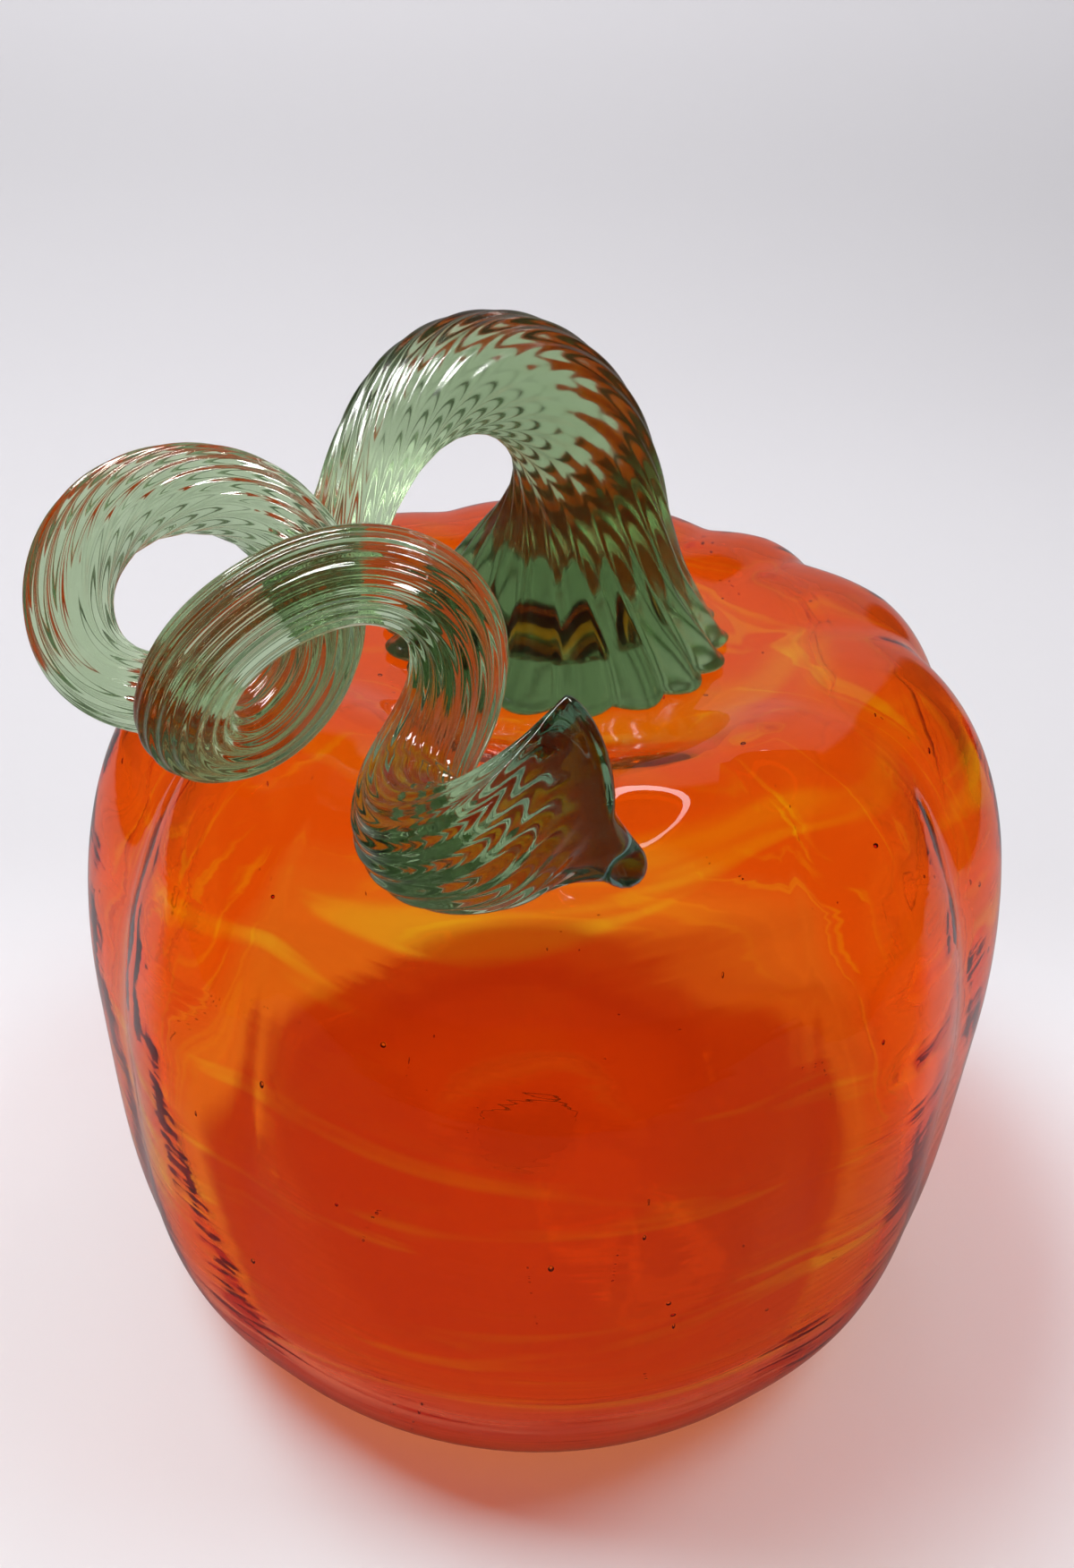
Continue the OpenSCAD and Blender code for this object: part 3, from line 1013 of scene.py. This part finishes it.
# %% The room
SKY = (0.97, 0.96, 1.0, 1)
ROOM_LIGHT, ROOM_SEEN, ROOM_MIRRORED = 0.16, 0.75, 0.04
ROOM_FRONT, ROOM_SIDES, SIDES_FADE = 0.28, 0.5, (0.2, 0.7)


def choose(tree, rays, kind, no, yes):
    """One level for rays of a kind, another for the rest."""
    share_no = math_node(tree, "SUBTRACT", 1.0, rays.outputs[kind])
    kept = math_node(tree, "MULTIPLY", share_no, no)
    return math_node(tree, "ADD", kept, math_node(tree, "MULTIPLY", rays.outputs[kind], yes))


world = bpy.data.worlds.new("studio")
bpy.context.scene.world = world
world.use_nodes = True
tree = world.node_tree
tree.nodes.clear()
out = node(tree, "ShaderNodeOutputWorld")
sky = node(tree, "ShaderNodeBackground")
sky.inputs["Color"].default_value = SKY
place, axes = place_in(tree, "Generated")
sideways = math_node(tree, "ABSOLUTE", axes["X"])
walls = rise(tree, sideways, *SIDES_FADE, ROOM_FRONT, ROOM_SIDES)
rays = node(tree, "ShaderNodeLightPath")
level = choose(tree, rays, "Is Glossy Ray", ROOM_LIGHT, ROOM_MIRRORED)
level = choose(tree, rays, "Is Transmission Ray", level, walls)
level = choose(tree, rays, "Is Camera Ray", level, ROOM_SEEN)
tree.links.new(level, sky.inputs["Strength"])
tree.links.new(sky.outputs[0], out.inputs[0])
print("Room light:", ROOM_LIGHT, "walls seen through the glass:", ROOM_FRONT, "to", ROOM_SIDES)

# %% [markdown]
# ## The studio: lamps
# Two soft boxes behind and above throw the tinted shadow forwards. They stay out of the
# reflections, where only a slim ring lamp shows, as one bright loop on the shoulder. The ribs
# and the skirt of the stem catch lights of their own, which are linked to the stem alone.

# %% Soft boxes
BOX = (0.62, 0.62)
BOX_SPREAD = math.radians(150)


def soft_box(name, at, to, size, power, mirrored_on=None):
    lamp = bpy.data.lights.new(name, "AREA")
    lamp.shape = "RECTANGLE"
    lamp.size, lamp.size_y = size
    lamp.energy = power
    lamp.spread = BOX_SPREAD
    holder = bpy.data.objects.new(name, lamp)
    bpy.context.scene.collection.objects.link(holder)
    holder.location = at
    holder.rotation_euler = (Vector(to) - Vector(at)).to_track_quat("-Z", "Y").to_euler()
    holder.visible_camera = False
    holder.visible_glossy = False
    holder.visible_transmission = False
    if mirrored_on:
        lit = bpy.data.collections.new(name + "_on")
        lit.objects.link(mirrored_on)
        holder.light_linking.receiver_collection = lit
        holder.visible_glossy = True
    print(name, "gives", power, "W")


soft_box("left_box", (-0.65, 0.2, 1.45), (-0.05, 0.0, 0.05), BOX, 13.4)
soft_box("right_box", (0.8, 0.15, 1.4), (0.05, 0.0, 0.05), BOX, 5.3)
soft_box("rib_light", (-0.5, 0.15, 0.85), (-0.02, -0.03, 0.15), (0.2, 0.6), 8.0, mirrored_on=stem)
soft_box("skirt_light", (0.14, -0.24, 0.8), (0.0, -0.01, 0.125), (0.16, 0.3), 5.0, mirrored_on=stem)

# %% Ring lamp
RING_AT, RING_TO = Vector((0.149, 0.139, 0.56)), Vector((0.011, -0.051, 0.118))
RING_LONG_WAY = Vector((0.244, -0.87, 0.33))
RING_W, RING_H, RING_THIN = 0.055, 0.26, 0.84
RING_STEPS = 64
RING_GLOW, RING_GLOW_BENT = 6.0, 1.5

aim_way = (RING_TO - RING_AT).normalized()
long_way = (RING_LONG_WAY - aim_way * RING_LONG_WAY.dot(aim_way)).normalized()
wide_way = long_way.cross(aim_way)
ring_points, ring_faces = [], []
for k in range(RING_STEPS):
    q = 2 * math.pi * k / RING_STEPS
    spoke = RING_W * math.cos(q) * wide_way + RING_H * math.sin(q) * long_way
    ring_points += [(RING_AT + scale * spoke) / MM for scale in (RING_THIN, 1.0)]
    after = (k + 1) % RING_STEPS
    ring_faces.append((2 * k, 2 * k + 1, 2 * after + 1, 2 * after))
ring_lamp = new_piece("ring_lamp", ring_points, ring_faces)


def new_glow(name):
    mat, tree, out = new_material(name)
    glow = node(tree, "ShaderNodeEmission")
    tree.links.new(glow.outputs[0], out.inputs["Surface"])
    return mat, tree, glow.inputs["Strength"]


ring_glow, tree, strength = new_glow("ring_glow")
rays = node(tree, "ShaderNodeLightPath")
level = choose(tree, rays, "Is Transmission Ray", RING_GLOW, RING_GLOW_BENT)
tree.links.new(level, strength)
ring_lamp.data.materials.append(ring_glow)
ring_lamp.visible_camera = False
print("Ring lamp in mm:", round(2 * RING_W / MM), "by", round(2 * RING_H / MM))

# %% [markdown]
# Photographers keep a lamp out of a reflection with a flag, a small dark card between the
# two. One here keeps the ring off the next lobe. Only mirror rays meet it, and it is as dim as
# the rest of the room that they see.

# %% Flag
FLAG_AT = Vector((0.0297, -0.0375, 0.125))
FLAG_W, FLAG_H = 0.013, 0.016

corners = [(-1, -1), (1, -1), (1, 1), (-1, 1)]
flag_points = [(FLAG_AT + Vector((a * FLAG_W, b * FLAG_H, 0)) / 2) / MM for a, b in corners]
flag = new_piece("flag", flag_points, [(0, 1, 2, 3)])
flag_dim, tree, strength = new_glow("flag_dim")
strength.default_value = ROOM_MIRRORED
flag.data.materials.append(flag_dim)
flag.visible_camera = flag.visible_shadow = False
flag.visible_diffuse = flag.visible_transmission = False
print("Flag in mm:", round(FLAG_W / MM), "by", round(FLAG_H / MM))

# %% [markdown]
# ## The camera
# The camera stands close, in front and above, turned a little about its view. Its lens is
# given as a focal length in pixels of a frame that is 1752 high. Light that is caught inside
# the wall bounces many times before it leaves, so the bounce limits are high.

# %% Camera
AIM = np.array((-1.8, 0.0, 88.5))
VIEW_EL, VIEW_D, VIEW_ROLL = math.radians(33.0), 202.5, math.radians(2.5)
FOCAL_PX, FRAME_PX, SENSOR = 1365, 1752, 36.0
BOUNCES = 80

eye = AIM + VIEW_D * np.array((0, -math.cos(VIEW_EL), math.sin(VIEW_EL)))
ahead = (AIM - eye) / VIEW_D
right = np.cross(ahead, UP)
right /= np.linalg.norm(right)
above = np.cross(right, ahead)
rolled_right = math.cos(VIEW_ROLL) * right + math.sin(VIEW_ROLL) * above
rolled_above = math.cos(VIEW_ROLL) * above - math.sin(VIEW_ROLL) * right
lens = bpy.data.cameras.new("camera")
lens.sensor_width = SENSOR
lens.lens = FOCAL_PX * SENSOR / FRAME_PX
lens.clip_start = 0.005
camera = bpy.data.objects.new("camera", lens)
bpy.context.scene.collection.objects.link(camera)
pose = np.eye(4)
pose[:3, 0], pose[:3, 1], pose[:3, 2], pose[:3, 3] = rolled_right, rolled_above, -ahead, eye * MM
camera.matrix_world = Matrix(pose.tolist())
bpy.context.scene.camera = camera
for kind in ("max_bounces", "glossy_bounces", "transmission_bounces", "transparent_max_bounces"):
    setattr(bpy.context.scene.cycles, kind, BOUNCES)
bpy.context.scene.view_settings.view_transform = "Standard"
print("Camera stands", VIEW_D, "mm from its aim")
